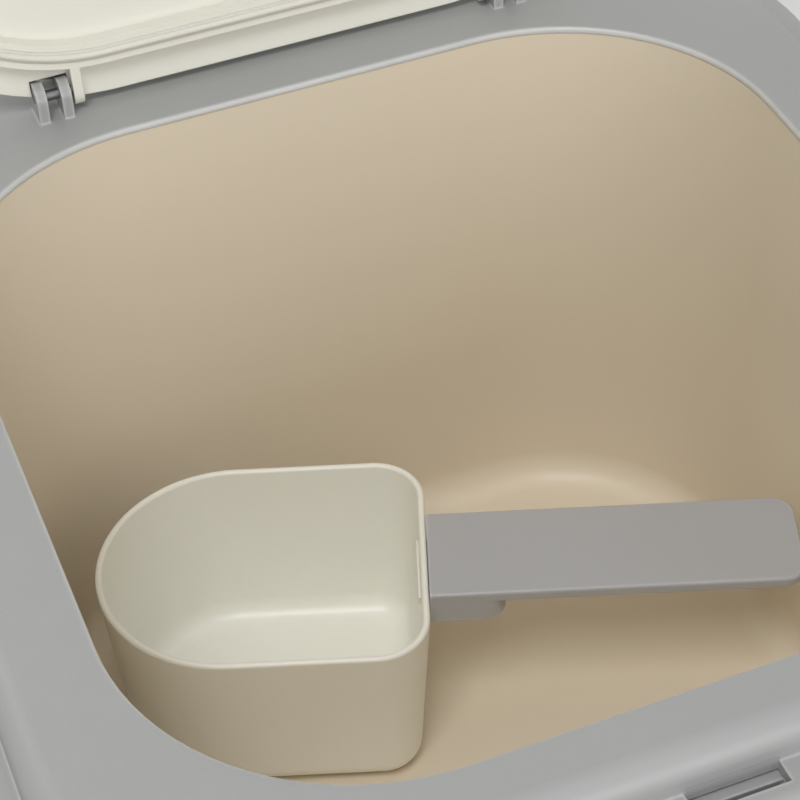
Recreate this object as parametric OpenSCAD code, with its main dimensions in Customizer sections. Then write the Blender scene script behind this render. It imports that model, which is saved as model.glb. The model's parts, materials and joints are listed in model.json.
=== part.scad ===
// Rice bin: a moulded tub hangs inside an outer body, under a top frame with a flip lid on
// two hinges and a push-button latch at the front. A measuring scoop lies in the tub.
// Millimetres. +Z is up, -Y is the front, +Y is the hinge side. The origin lies on the
// floor under the centre of the opening. The lid is drawn closed and turned open.

/* [Opening] */
// Width of the opening, left to right
opening_w = 176; // [166:1:186]
// Depth of the opening, front to back
opening_d = 188; // [178:1:200]
// Corner radius of the opening
opening_r = 48; // [42:1:52]
// Radius of the rounded edge at the opening
lip_r = 1; // [0.8:0.1:1.2]
// Height of the opening's edge, down to the tub's top edge
lip_h = 1.4; // [1.3:0.1:1.8]

/* [Tub] */
// Depth from the frame's top to the tub's floor inside
inner_depth = 136; // [115:1:190]
// Thickness of the tub's walls, floor and flange
tub_wall = 2.4; // [2:0.1:2.8]
// How far each wall leans in between the top and the floor
tub_draft = 2.2; // [1:0.1:3]
// Radius between the walls and the floor, inside
floor_r = 8; // [5:0.5:12]
// Step from the opening's edge out to the tub's wall
tub_step = 0.15; // [0.1:0.05:0.3]
// Depth of the tub's flange below the frame's top
flange_drop = 21.6; // [21:0.2:26]
// Thickness of the gussets under the flange
gusset_t = 2; // [1.6:0.1:3]
// Height of the gussets under the flange
gusset_h = 13; // [8:1:14]

// Space between the tub's underside and the body's base
tub_lift = 8; // [6:0.5:14]

/* [Body] */
// Thickness of the outer body
body_wall = 2.4; // [2:0.1:2.8]
// How far the body's walls lean in towards the base
body_draft = 3; // [1:0.5:5]
// Radius between the body's walls and its base, outside
body_r = 12; // [8:0.5:14]
// Seam between the frame's skirt and the body
body_seam = 0.8; // [0.5:0.1:1.5]
// Width of the grip slots in the body's sides
grip_w = 84; // [70:1:85]
// Height of the grip slots
grip_h = 24; // [20:1:32]
// Corner radius of the grip slots
grip_r = 8; // [5:0.5:9.5]

/* [Frame] */
// Width of the band beside the opening, left and right
band_side = 19.4; // [18.4:0.2:24]
// Width of the band in front of the opening
band_front = 13.6; // [13:0.2:18]
// Width of the band behind the opening, which carries the hinges
band_back = 30; // [24:0.5:34]
// Corner radius of the raised band's outer edge
frame_r = 40; // [34:1:44]
// Thickness of the frame
frame_wall = 2.2; // [1.8:0.1:2.4]
// Radius of the band's rolled outer edge
edge_r = 5; // [4:0.5:5.5]
// Depth of the lower ledge below the frame's top
ledge_drop = 8; // [7.5:0.1:8.4]
// Width of the lower ledge
ledge_w = 9; // [8.8:0.1:11]
// Radius of the ledge's outer edge
ledge_r = 3; // [2.6:0.1:4]
// Depth of the frame's skirt below its top
skirt_drop = 30; // [27:1:36]
// Length of the collar that holds the tub's rim
collar_h = 6.7; // [4:0.1:6.9]

/* [Hinge] */
// Distance of the hinge axis behind the opening's edge
hinge_back = 12.6; // [12.4:0.1:13.6]
// Height of the hinge axis above the frame
hinge_rise = 4.6; // [4.2:0.1:4.7]
// Distance of each hinge's middle from the centre line
hinge_x = 52.9; // [50:0.1:57]
// Radius of the hinge ears' round tops
ear_r = 3.5; // [3.3:0.1:3.9]
// Thickness of each hinge ear
ear_t = 2.3; // [2:0.1:2.6]
// Gap between the two ears of a hinge
ear_gap = 3.1; // [2.4:0.1:3.4]
// Radius of the hinge pins
pin_r = 1.2; // [1:0.05:1.5]
// Thickness of the lid's lug beside the ears
lug_t = 2.2; // [1.8:0.1:2.6]
// Radius of the lid's lug round the pin
lug_r = 3.2; // [3:0.1:3.4]
// Angle between the closed lid and the open lid
open_angle = 100; // [95:1:104]

/* [Lid] */
// How far the lid reaches past the opening at the sides and the back
lid_reach = 15; // [14.6:0.1:15.4]
// How far the lid reaches past the opening at the front
lid_front = 9.2; // [8.8:0.1:10]
// Corner radius of the lid
lid_r = 65; // [62:1:66]
// Height of the closed lid's underside above the frame
lid_rise = 4.8; // [4.7:0.1:5.4]
// Thickness of the lid's inner panel
panel_t = 2.2; // [1.8:0.1:2.6]
// Height of the lid's cover above the panel
cover_h = 9; // [8.5:0.5:12]
// Radius of the cover's rounded edge
cover_r = 8; // [7:0.5:8.5]
// Thickness of the lid's cover
cover_t = 2.2; // [1.8:0.1:2.6]
// Height of the two ridges that hold the seal
ridge_h = 3.5; // [3:0.1:3.7]
// Thickness of each ridge
ridge_t = 1.5; // [1.2:0.1:1.7]
// Distance of the outer ridge's outer face from the opening's edge
ridge_out = 7.1; // [7:0.1:7.8]
// Radius at the root of the outer ridge
ridge_root = 2.4; // [1.4:0.1:2.6]
// Distance of the recess in the panel inside the opening's edge
recess_in = 8; // [6:1:14]
// Depth of the recess in the panel
recess_h = 4; // [3:0.1:4.4]
// Radius of the recess's rounded corner
recess_r = 3; // [2.6:0.1:3.5]

/* [Latch] */
// Width of the push button
button_w = 34; // [30:1:38]
// Travel of the push button
button_travel = 2.6; // [2.2:0.1:2.7]
// How far the push button stands out of the skirt
button_proud = 1.2; // [0.8:0.1:2]
// Corner radius of the push button
button_r = 4; // [2:0.5:4.2]
// Width of the lid's hook
hook_w = 16; // [12:0.5:17]
// Thickness of the lid's hook
hook_t = 1.8; // [1.5:0.1:1.9]
// Overlap of the hook's nose and the latch bar
hook_bite = 1.3; // [1:0.1:1.4]
// Width of the tab that carries the hook
tab_w = 30; // [26:1:44]
// Corner radius of the tab
tab_r = 6; // [3:0.5:8]
// Thickness of the cover's part of the tab
tab_h = 3; // [2:0.1:4]
// Radius of the spring's coil, outside
spring_r = 2.2; // [2:0.1:2.5]
// Diameter of the spring's wire
spring_wire = 0.5; // [0.4:0.05:0.6]
// Number of turns in each spring
spring_turns = 6; // [4:1:8]

/* [Screws and feet] */
// Radius of the screws' shanks
screw_r = 1.4; // [1.2:0.1:1.6]
// Radius of the screws' heads
screw_head_r = 2.8; // [2.4:0.1:3]
// Height of the screws' heads
screw_head_h = 1.6; // [1.2:0.1:1.8]
// Radius of each rubber foot
foot_r = 9; // [6:0.5:11]
// Height that the feet lift the body
foot_stand = 2; // [1.5:0.1:4]
// Depth that each foot is set into the body's base
foot_set = 1; // [0.5:0.1:1.2]
// Distance of each foot's middle outside the middle of the body's corner arc
foot_out = 10; // [4:0.5:14]

/* [Scoop] */
// Width of the scoop's cup
cup_w = 62; // [52:1:66]
// Length of the scoop's cup
cup_l = 75; // [66:1:80]
// Depth of the scoop's cup, outside
cup_h = 46; // [36:1:56]
// Thickness of the scoop's walls
cup_t = 1.6; // [1.3:0.1:2]
// Radius between the cup's walls and its base, outside
cup_base_r = 7; // [5:0.5:7.5]
// How far the cup's walls lean in towards the base
cup_draft = 3; // [1:0.5:3.5]
// Corner radius at the back of the cup
cup_back_r = 12; // [11:0.5:16]
// Length of the scoop's handle past the cup
handle_l = 84; // [70:1:86]
// Width of the scoop's handle
handle_w = 26; // [22:1:30]
// Thickness of the scoop's handle
handle_t = 3; // [2.4:0.1:4]
// Corner radius of the handle's free end
handle_r = 5; // [4:0.5:8]
// Radius of the handle's rounded edges
handle_edge = 0.8; // [0.5:0.1:1]
// Length of the cup's tongue inside the handle
tongue_l = 14; // [10:1:20]
// Turn of the scoop on the tub's floor
scoop_turn = -20; // [-26:1:-14]
// Place of the cup's back wall, left to right
scoop_x = 1; // [-2:0.5:4]
// Place of the cup's back wall, front to back
scoop_y = 33; // [28:0.5:36]

/* [Fits] */
// Clearance between moulded pieces that slide together
slide_gap = 0.3; // [0.2:0.05:0.4]
// Radial clearance round pins and screws
pin_gap = 0.05; // [0.02:0.01:0.08]
// Clearance between a moving piece and its stop
stop_gap = 0.3; // [0.2:0.05:0.5]

/* [Hidden] */
$fn = 64;

// How far a flat plate reaches into the rounded edge swept round it
lap = 1;
// How far a cut runs past the faces that it opens
over = 1;

// Heights above the floor
base_z = foot_stand;
tub_z = base_z + body_wall + tub_lift;
floor_z = tub_z + tub_wall;
rim_z = floor_z + inner_depth;
tub_top_z = rim_z - lip_h;
ledge_z = rim_z - ledge_drop;
ledge_under_z = ledge_z - frame_wall;
flange_z = rim_z - flange_drop;
skirt_z = rim_z - skirt_drop;

// Plan of the frame
frame_w = opening_w + 2 * band_side;
frame_d = opening_d + band_front + band_back;
frame_shift = (band_back - band_front) / 2;
front_y = -opening_d / 2 - band_front;
skirt_y = front_y - ledge_w;
flange_reach = ledge_w - frame_wall - slide_gap;

// Outer body, measured outwards from the raised band's outer edge
body_rim_z = flange_z - tub_wall;
skirt_end_z = skirt_z - frame_wall / 2;
shoulder_z = skirt_end_z - body_seam;
body_low = ledge_w - body_draft;
body_corner_z = base_z + body_r;
base_edge = body_low - body_r;
body_screw_x = 45;
body_screw_y = 50;
body_boss_r = 4;
body_boss_hole_h = 6;
screw_end_gap = 1;
body_screw_l = body_wall + body_boss_hole_h - screw_end_gap;

// Tub wall, measured outwards from the opening's edge
low_in = tub_step - tub_draft;
wall_mid = tub_step + tub_wall / 2;
collar_in = tub_step + tub_wall + slide_gap / 2;
collar_t = 1.8;
corner_z = floor_z + floor_r;
floor_edge = low_in - floor_r;
gusset_out = 14;
gusset_x = 32;
gusset_y = 44;

// Hinge
hinge_y = opening_d / 2 + hinge_back;
hinge_z = rim_z + hinge_rise;
ear_step = (ear_t + ear_gap) / 2;
pin_hole_r = pin_r + pin_gap;
ear_inner_x = hinge_x - ear_step - ear_t / 2;
ear_outer_x = hinge_x + ear_step + ear_t / 2;
lug_gap = 0.6;
lug_x = ear_inner_x - lug_gap - lug_t;
lug_skin = 0.5;
pin_end_x = lug_x + lug_skin + slide_gap;
notch_gap = 0.5;

// Lid, drawn closed
lid_under_z = rim_z + lid_rise;
panel_top_z = lid_under_z + panel_t;
cover_top_z = panel_top_z + cover_h;
lid_w = opening_w + 2 * lid_reach;
lid_d = opening_d + lid_reach + lid_front;
lid_shift = (lid_reach - lid_front) / 2;
lid_front_y = -opening_d / 2 - lid_front;
lid_back_y = opening_d / 2 + lid_reach;
ridge_bottom_z = lid_under_z - ridge_h;
seal_out = ridge_out - ridge_t;
seal_in = 3.1;
seal_gap = 0.2;
seal_bottom_z = rim_z + seal_gap;
seal_tip = 0.7;

// Stop rib that the open lid leans on: the cover's round edge, turned open, touches its top
roll_y = lid_back_y - cover_r - hinge_y;
roll_z = cover_top_z - cover_r - hinge_z;
stop_y = hinge_y + roll_y * cos(open_angle) + roll_z * sin(open_angle);
stop_z = hinge_z - roll_y * sin(open_angle) + roll_z * cos(open_angle) - cover_r - stop_gap;
stop_w = 60;
stop_t = 2.4;

// Latch, measured from the frame's front
hook_inset = 3.8;
hook_front_y = front_y - hook_inset;
hook_back_y = hook_front_y + hook_t;
tab_lip = 1.2;
tab_front_y = hook_front_y - tab_lip;
nose = 1.5;
nose_drop = 13.3;
nose_z = rim_z - nose_drop;
hook_end_h = 2.9;
hook_bottom_z = nose_z - hook_end_h;
bar_y = hook_back_y + nose - hook_bite;
slot_gap = 0.6;
button_gap = 0.5;
button_h = 8.9;
button_top_z = ledge_under_z - button_gap;
button_bottom_z = button_top_z - button_h;
button_inset = 1.2;
button_back_y = skirt_y + frame_wall + button_inset;
slider_t = 2.2;
slider_z = button_top_z - slider_t;
slider_w = 32;
slider_tail = 9.2;
slider_back_y = bar_y + slider_tail;
window_front_y = hook_front_y - button_travel - stop_gap;
guide_gap = 0.2;
guide_z = flange_z + guide_gap;
guide_t = 1.4;
rail_x = slider_w / 2 + slide_gap;
rail_t = 2;
rail_front_y = button_back_y + button_travel + stop_gap;
rail_shelf = 2;
guide_tail = 2.4;
guide_back_y = slider_back_y + guide_tail;
guide_wall_t = 1.8;
stop_tab_w = 1.8;
stop_tab_l = 2;
stop_tab_inset = 3.6;
stop_tab_y = slider_back_y - stop_tab_inset;
latch_ear_x = 22;
latch_ear_inset = 3.7;
latch_ear_y = guide_back_y - latch_ear_inset;
latch_ear_r = 3.2;
latch_ear_h = 4;
latch_ear_z = guide_z + latch_ear_h;
ear_bridge_w = 4;
spring_x = 11.4;
spring_shift = 0.4;
spring_z = (button_bottom_z + slider_z) / 2 + spring_shift;
spring_front_y = button_back_y;
spring_back_y = guide_back_y - guide_wall_t;
spring_sides = 8;
spring_steps = 12;
peg_r = spring_r - spring_wire - slide_gap;
peg_l = 2.2;

// Screws from the tub's flange into the frame's posts
post_r = 3.4;
post_hole_h = 12;
screw_hole_r = screw_r + pin_gap;
screw_l = post_hole_h - screw_end_gap;
latch_hole_h = 11;
head_sink = 0.2;
latch_screw_l = latch_hole_h - screw_end_gap;
corner_post = 13.5;
side_post_x = 44;
corner_post_x = opening_w / 2 - opening_r + (opening_r + corner_post) * cos(45);
corner_post_y = opening_d / 2 - opening_r + (opening_r + corner_post) * sin(45);
post_bite = 0.4;
front_post_y = -opening_d / 2 - collar_in - collar_t + post_bite - post_r;
back_post_inset = 2;
back_post_y = hinge_y - back_post_inset;
POSTS = [
    [-corner_post_x, -corner_post_y],
    [corner_post_x, -corner_post_y],
    [-corner_post_x, corner_post_y],
    [corner_post_x, corner_post_y],
    [-side_post_x, front_post_y],
    [side_post_x, front_post_y],
    [-side_post_x, back_post_y],
    [side_post_x, back_post_y]
];

// Feet
foot_x = frame_w / 2 - frame_r + foot_out;
foot_y = frame_d / 2 - frame_r + foot_out;
foot_chamfer = 0.8;

// Scoop, drawn with its back wall at the origin and its handle along +X
cup_front_r = cup_w / 2;
cup_low = cup_t + cup_draft;
cup_lap = (cup_back_r - cup_draft - cup_base_r) / 4;
tongue_side = 4;
tongue_w = handle_w - 2 * tongue_side;
tongue_t = 2;
socket_t = 1.6;
socket_end = 3;
socket_l = tongue_l + socket_end;
tongue_drop = handle_t + socket_t;

// Colours
frame_colour = [0.67, 0.68, 0.68];
cream_colour = [0.93, 0.92, 0.87];
seal_colour = [0.88, 0.88, 0.86];
rubber_colour = [0.3, 0.3, 0.31];
metal_colour = [0.75, 0.76, 0.78];

// Four equal corner radii
function all_four(r) = [r, r, r, r];

// A flat rectangle with rounded corners, centred on the origin
module rounded(w, d, r) {
    square([w, d - 2 * r], center = true);
    square([w - 2 * r, d], center = true);
    for (x = [-1, 1], y = [-1, 1])
        translate([x * (w / 2 - r), y * (d / 2 - r)])
            circle(r);
}

// Sweeps a flat profile round a rectangle with rounded corners. The profile's X is the
// distance outwards from the rectangle's edge, and its Y is the height. The radii go
// round from the back right corner to the back left, front left and front right ones.
module sweep_round(w, d, radii) {
    corners = [[1, 1], [-1, 1], [-1, -1], [1, -1]];
    for (i = [0:3])
        translate([corners[i].x * (w / 2 - radii[i]), corners[i].y * (d / 2 - radii[i])])
            rotate(90 * i)
                rotate_extrude(angle = 90)
                    translate([radii[i], 0])
                        children();
    for (i = [0:3]) {
        across = i % 2 == 0 ? w : d;
        along = i % 2 == 0 ? d : w;
        side_l = along - radii[i] - radii[(i + 3) % 4];
        if (side_l > 0)
            rotate(90 * i)
                translate([across / 2, along / 2 - radii[i], 0])
                    rotate([90, 0, 0])
                        linear_extrude(side_l)
                            children();
    }
}

// A filled corner, rounded about the origin, with its other sides at -left and -down
module round_corner(r, left, down) {
    intersection() {
        circle(r);
        translate([-left, -down])
            square([left + r, down + r]);
    }
    if (left > 0)
        translate([-left, -down])
            square([left, down + r]);
    if (down > 0)
        translate([-left, -down])
            square([left + r, down]);
}

// A strip of thickness t, bent round the origin, with a leg to the left at its top and a
// leg down at its right
module bend(r, t, left, down) {
    difference() {
        round_corner(r, left, down);
        round_corner(r - t, left + over, down + over);
    }
}

// A flat hollow rectangle swept round the opening, from one distance to another
module rib_round(from, to, low, high) {
    sweep_round(opening_w, opening_d, all_four(opening_r))
        translate([from, low])
            square([to - from, high - low]);
}

// A rounded plate under the frame's plan, grown outwards by reach
module frame_plate(reach) {
    translate([0, frame_shift])
        rounded(frame_w + 2 * reach, frame_d + 2 * reach, frame_r + reach);
}

// The opening's outline, grown outwards by reach
module opening_shape(reach) {
    rounded(opening_w + 2 * reach, opening_d + 2 * reach, opening_r + reach);
}

// Turns the closed lid open about the hinge
module opened() {
    translate([0, hinge_y, hinge_z])
        rotate([-open_angle, 0, 0])
            translate([0, -hinge_y, -hinge_z])
                children();
}

// A round hole or shank along X, from one place to another
module along_x(from, to, r) {
    translate([from, 0, 0])
        rotate([0, 90, 0])
            cylinder(h = to - from, r = r);
}

// A profile in Y and Z, made into a plate of a given thickness from x on
module plate_yz(x, t) {
    translate([x, 0, 0])
        rotate([90, 0, 90])
            linear_extrude(t)
                children();
}

// --- Tub ---

// Wall and rounded floor corner of the tub
module tub_profile() {
    polygon([
        [tub_step, tub_top_z],
        [tub_step + tub_wall, tub_top_z],
        [low_in + tub_wall, corner_z],
        [low_in, corner_z]
    ]);
    translate([floor_edge, corner_z])
        mirror([0, 1])
            bend(floor_r + tub_wall, tub_wall, 2 * lap, 0);
}

// One gusset between the tub's wall and its flange, along +X from the opening's edge
module gusset() {
    translate([0, gusset_t / 2, flange_z - tub_wall])
        rotate([90, 0, 0])
            linear_extrude(gusset_t)
                polygon([[wall_mid, 0], [gusset_out, 0], [gusset_out, -gusset_t], [wall_mid, -gusset_h]]);
}

module tub() {
    color(cream_colour)
        difference() {
            union() {
                sweep_round(opening_w, opening_d, all_four(opening_r))
                    tub_profile();
                translate([0, 0, tub_z])
                    linear_extrude(tub_wall)
                        opening_shape(floor_edge - lap);
                for (x = [-1, 1], y = [-1, 1])
                    translate([x * body_screw_x, y * body_screw_y, base_z + body_wall])
                        cylinder(h = tub_lift + tub_wall / 2, r = body_boss_r);
                translate([0, 0, flange_z - tub_wall])
                    linear_extrude(tub_wall)
                        difference() {
                            frame_plate(flange_reach);
                            opening_shape(wall_mid);
                        }
                for (side = [0, 180], y = [-gusset_y, gusset_y])
                    rotate(side)
                        translate([opening_w / 2, y, 0])
                            gusset();
                for (side = [90, 270], x = [-gusset_x, 0, gusset_x])
                    rotate(side)
                        translate([opening_d / 2, x, 0])
                            gusset();
            }
            for (x = [-1, 1], y = [-1, 1])
                translate([x * body_screw_x, y * body_screw_y, base_z])
                    cylinder(h = body_wall + body_boss_hole_h, r = screw_hole_r);
            for (p = POSTS)
                translate([p.x, p.y, flange_z - 2 * tub_wall])
                    cylinder(h = 3 * tub_wall, r = screw_r + slide_gap);
        }
}

// --- Outer body ---

// Rim inside the skirt, shoulder, wall and rounded base corner of the outer body
module body_profile() {
    translate([flange_reach - body_wall, shoulder_z - body_wall])
        square([body_wall, body_rim_z - shoulder_z + body_wall]);
    translate([flange_reach - body_wall, shoulder_z - body_wall])
        square([ledge_w - flange_reach + body_wall, body_wall]);
    polygon([
        [ledge_w - body_wall, shoulder_z],
        [ledge_w, shoulder_z],
        [body_low, body_corner_z],
        [body_low - body_wall, body_corner_z]
    ]);
    translate([base_edge, body_corner_z])
        mirror([0, 1])
            bend(body_r, body_wall, 2 * lap, 0);
}

module outer_body() {
    color(cream_colour)
        difference() {
            union() {
                translate([0, frame_shift, 0])
                    sweep_round(frame_w, frame_d, all_four(frame_r))
                        body_profile();
                translate([0, 0, base_z])
                    linear_extrude(body_wall)
                        frame_plate(base_edge - lap);
            }
            for (x = [-1, 1])
                translate([x * (frame_w / 2 + ledge_w), 0, shoulder_z - body_wall - grip_h / 2])
                    rotate([0, 90, 0])
                        linear_extrude(4 * body_wall + body_draft, center = true)
                            rounded(grip_h, grip_w, grip_r);
            for (x = [-1, 1], y = [-1, 1]) {
                translate([x * foot_x, frame_shift + y * foot_y, base_z - foot_set])
                    cylinder(h = 2 * foot_set, r = foot_r + slide_gap / 2);
                translate([x * body_screw_x, y * body_screw_y, base_z - over]) {
                    cylinder(h = body_wall + 2 * over, r = screw_r + slide_gap);
                    cylinder(h = screw_head_h / 2 + over, r = screw_head_r + slide_gap);
                }
            }
        }
}

module body_screws() {
    color(metal_colour)
        for (x = [-1, 1], y = [-1, 1])
            translate([x * body_screw_x, y * body_screw_y, base_z + screw_head_h / 2])
                screw(body_screw_l);
}

// One rubber foot, set into the body's base
module foot(x, y) {
    color(rubber_colour)
        translate([x * foot_x, frame_shift + y * foot_y, 0])
            rotate_extrude()
                polygon([
                    [0, 0],
                    [foot_r - foot_chamfer, 0],
                    [foot_r, foot_chamfer],
                    [foot_r, base_z + foot_set],
                    [0, base_z + foot_set]
                ]);
}

module foot_front_left() {
    foot(-1, -1);
}

module foot_front_right() {
    foot(1, -1);
}

module foot_back_left() {
    foot(-1, 1);
}

module foot_back_right() {
    foot(1, 1);
}

// --- Frame ---

// Rolled band edge, ledge and skirt, measured outwards from the raised band's outer edge
module frame_profile() {
    translate([-edge_r, rim_z - edge_r])
        bend(edge_r, frame_wall, 2 * lap, rim_z - edge_r - ledge_under_z);
    translate([ledge_w - ledge_r, ledge_z - ledge_r])
        bend(ledge_r, frame_wall, ledge_w - ledge_r + frame_wall, ledge_z - ledge_r - skirt_z);
    translate([ledge_w - frame_wall / 2, skirt_z])
        circle(frame_wall / 2);
}

// Rounded edge at the opening, which reaches over the tub's wall to the collar
module lip_profile() {
    translate([lip_r, rim_z - lip_r])
        mirror([1, 0])
            round_corner(lip_r, collar_in + collar_t - lip_r, lip_h - lip_r);
}

// One hinge ear's outline in Y and Z
module ear_outline() {
    translate([hinge_y, hinge_z])
        circle(ear_r);
    translate([hinge_y - ear_r, rim_z - frame_wall / 2])
        square([2 * ear_r, hinge_z - rim_z + frame_wall / 2]);
}

// Push button's outline, seen from the front
module button_outline(grow) {
    rounded(button_w + 2 * grow, button_top_z - button_bottom_z + 2 * grow, button_r + grow);
}

// A block along Y with the button's outline
module button_block(from, to, grow) {
    translate([0, to, (button_top_z + button_bottom_z) / 2])
        rotate([90, 0, 0])
            linear_extrude(to - from)
                button_outline(grow);
}

module top_frame() {
    color(frame_colour)
        difference() {
            union() {
                translate([0, frame_shift, 0])
                    sweep_round(frame_w, frame_d, all_four(frame_r))
                        frame_profile();
                translate([0, 0, rim_z - frame_wall])
                    linear_extrude(frame_wall)
                        difference() {
                            frame_plate(-edge_r - lap);
                            opening_shape(collar_in + collar_t / 2);
                        }
                sweep_round(opening_w, opening_d, all_four(opening_r))
                    lip_profile();
                rib_round(collar_in, collar_in + collar_t, rim_z - frame_wall - collar_h, rim_z - frame_wall / 2);
                for (p = POSTS)
                    translate([p.x, p.y, flange_z])
                        cylinder(h = rim_z - frame_wall / 2 - flange_z, r = post_r);
                for (x = [-1, 1])
                    translate([x * latch_ear_x, latch_ear_y, latch_ear_z])
                        cylinder(h = rim_z - frame_wall / 2 - latch_ear_z, r = latch_ear_r);
                for (x = [-1, 1], e = [-1, 1])
                    plate_yz(x * hinge_x + e * ear_step - ear_t / 2, ear_t)
                        ear_outline();
                translate([-stop_w / 2, stop_y - stop_t / 2, rim_z - frame_wall / 2])
                    cube([stop_w, stop_t, stop_z - rim_z + frame_wall / 2]);
            }
            for (p = POSTS)
                translate([p.x, p.y, flange_z - over])
                    cylinder(h = post_hole_h + over, r = screw_hole_r);
            for (x = [-1, 1])
                translate([x * latch_ear_x, latch_ear_y, latch_ear_z - over])
                    cylinder(h = latch_hole_h + over, r = screw_hole_r);
            for (x = [-1, 1])
                translate([0, hinge_y, hinge_z])
                    along_x(x * hinge_x - ear_t - ear_gap, x * hinge_x + ear_t + ear_gap, pin_hole_r);
            translate([-hook_w / 2 - slot_gap, hook_front_y - slot_gap, ledge_under_z - over])
                cube([hook_w + 2 * slot_gap, hook_t + nose + 2 * slot_gap, frame_wall + 2 * over]);
            button_block(skirt_y - over, skirt_y + frame_wall + over, slide_gap);
        }
}

// A pan-head screw pointing up, with its head's underside at z = 0
module screw(l) {
    cylinder(h = l, r = screw_r);
    translate([0, 0, -screw_head_h])
        cylinder(h = screw_head_h, r = screw_head_r);
}

module frame_screws() {
    color(metal_colour)
        for (p = POSTS)
            translate([p.x, p.y, flange_z - tub_wall])
                screw(screw_l);
}

// One hinge pin, flush with the outer ear and ending inside the lug
module hinge_pin(side) {
    color(metal_colour)
        translate([0, hinge_y, hinge_z])
            along_x(min(side * pin_end_x, side * ear_outer_x), max(side * pin_end_x, side * ear_outer_x), pin_r);
}

module hinge_pin_left() {
    hinge_pin(-1);
}

module hinge_pin_right() {
    hinge_pin(1);
}

// --- Lid, drawn closed and turned open ---

// The lid's outline, grown outwards by reach
module lid_shape(reach) {
    translate([0, lid_shift])
        rounded(lid_w + 2 * reach, lid_d + 2 * reach, lid_r + reach);
}

// Notches in the lid's back edge that clear the hinge ears at every angle, and start at a
// given distance from the middle
module ear_notches(from) {
    notch_z = hinge_z + ear_r + 2 * notch_gap;
    notch_front = hinge_y - ear_r - notch_gap;
    notch_w = ear_outer_x + notch_gap / 2 - from;
    for (side = [-1, 1])
        translate([side * (from + notch_w / 2) - notch_w / 2, notch_front, lid_under_z - ridge_h])
            cube([notch_w, lid_back_y - notch_front + over, notch_z - lid_under_z + ridge_h]);
}

// A lug's outline in Y and Z: a rib along the panel that ends round the pin
module lug_outline() {
    translate([hinge_y, hinge_z])
        circle(lug_r);
    polygon([
        [hinge_y, hinge_z - lug_r],
        [hinge_y, panel_top_z - panel_t / 2],
        [opening_d / 2 + ridge_out - ridge_t / 2, panel_top_z - panel_t / 2],
        [opening_d / 2 + ridge_out - ridge_t / 2, ridge_bottom_z]
    ]);
}

// The hook's outline in Y and Z, with a sloped nose that points back
module hook_outline() {
    polygon([
        [hook_front_y, lid_under_z + panel_t / 2],
        [hook_back_y, lid_under_z + panel_t / 2],
        [hook_back_y, nose_z],
        [hook_back_y + nose, nose_z - nose / 4],
        [hook_back_y + nose, nose_z - nose],
        [hook_back_y, hook_bottom_z],
        [hook_front_y, hook_bottom_z]
    ]);
}

// Rounded corner and wall of the panel's recess, measured from the recess's edge
module recess_profile() {
    translate([-recess_r, lid_under_z + recess_h + panel_t - recess_r])
        bend(recess_r, panel_t, 2 * lap, recess_h + panel_t - recess_r);
}

// Outer ridge with a rounded root, measured outwards from the opening's edge
module ridge_profile() {
    difference() {
        translate([seal_out, ridge_bottom_z])
            square([ridge_t + ridge_root + lap, ridge_h + panel_t / 2]);
        translate([ridge_out + ridge_root, lid_under_z - ridge_root])
            mirror([1, 0])
                round_corner(ridge_root, lap + over, ridge_h - ridge_root + over);
    }
}

module lid_panel() {
    recess_edge = -recess_in;
    color(cream_colour)
        opened()
            difference() {
                union() {
                    translate([0, 0, lid_under_z])
                        linear_extrude(panel_t)
                            difference() {
                                lid_shape(0);
                                opening_shape(recess_edge - panel_t / 2);
                            }
                    sweep_round(
                        opening_w + 2 * recess_edge, opening_d + 2 * recess_edge, all_four(opening_r + recess_edge)
                    )
                        recess_profile();
                    translate([0, 0, lid_under_z + recess_h])
                        linear_extrude(panel_t)
                            opening_shape(recess_edge - recess_r - lap);
                    sweep_round(opening_w, opening_d, all_four(opening_r))
                        ridge_profile();
                    rib_round(seal_in - ridge_t, seal_in, ridge_bottom_z, lid_under_z + panel_t / 2);
                    for (x = [-1, 1])
                        plate_yz(x > 0 ? lug_x : -lug_x - lug_t, lug_t)
                            lug_outline();
                    translate([0, 0, lid_under_z])
                        linear_extrude(panel_t)
                            tab_shape();
                    plate_yz(-hook_w / 2, hook_w)
                        hook_outline();
                }
                ear_notches(ear_inner_x - notch_gap / 2);
                translate([0, hinge_y, hinge_z]) {
                    along_x(lug_x + lug_skin, lug_x + lug_t + over, pin_hole_r);
                    along_x(-lug_x - lug_t - over, -lug_x - lug_skin, pin_hole_r);
                }
            }
}

// Tab in front of the lid, which carries the hook and lifts the lid
module tab_shape() {
    translate([0, (lid_front_y + tab_front_y) / 2 + tab_r])
        rounded(tab_w, lid_front_y - tab_front_y + 2 * tab_r, tab_r);
}

// Rounded edge of the cover, measured outwards from the lid's edge
module cover_profile() {
    translate([-cover_r, cover_top_z - cover_r])
        bend(cover_r, cover_t, 2 * lap, cover_h - cover_r);
}

module lid_cover() {
    color(cream_colour)
        opened()
            difference() {
                union() {
                    translate([0, lid_shift, 0])
                        sweep_round(lid_w, lid_d, all_four(lid_r))
                            cover_profile();
                    translate([0, 0, cover_top_z - cover_t])
                        linear_extrude(cover_t)
                            lid_shape(-cover_r - lap);
                    translate([0, 0, panel_top_z])
                        linear_extrude(tab_h)
                            tab_shape();
                }
                ear_notches(lug_x - notch_gap / 2);
            }
}

// A soft ring between the two ridges, with a narrower tip that meets the band
module lid_seal() {
    seal_w = seal_out - seal_in;
    color(seal_colour)
        opened()
            sweep_round(opening_w, opening_d, all_four(opening_r)) {
                translate([seal_in, ridge_bottom_z])
                    square([seal_w, ridge_h]);
                translate([(seal_in + seal_out) / 2 - seal_tip, seal_bottom_z + seal_tip])
                    square([2 * seal_tip, ridge_bottom_z - seal_bottom_z - seal_tip]);
                translate([(seal_in + seal_out) / 2, seal_bottom_z + seal_tip])
                    circle(seal_tip);
            }
}

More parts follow.
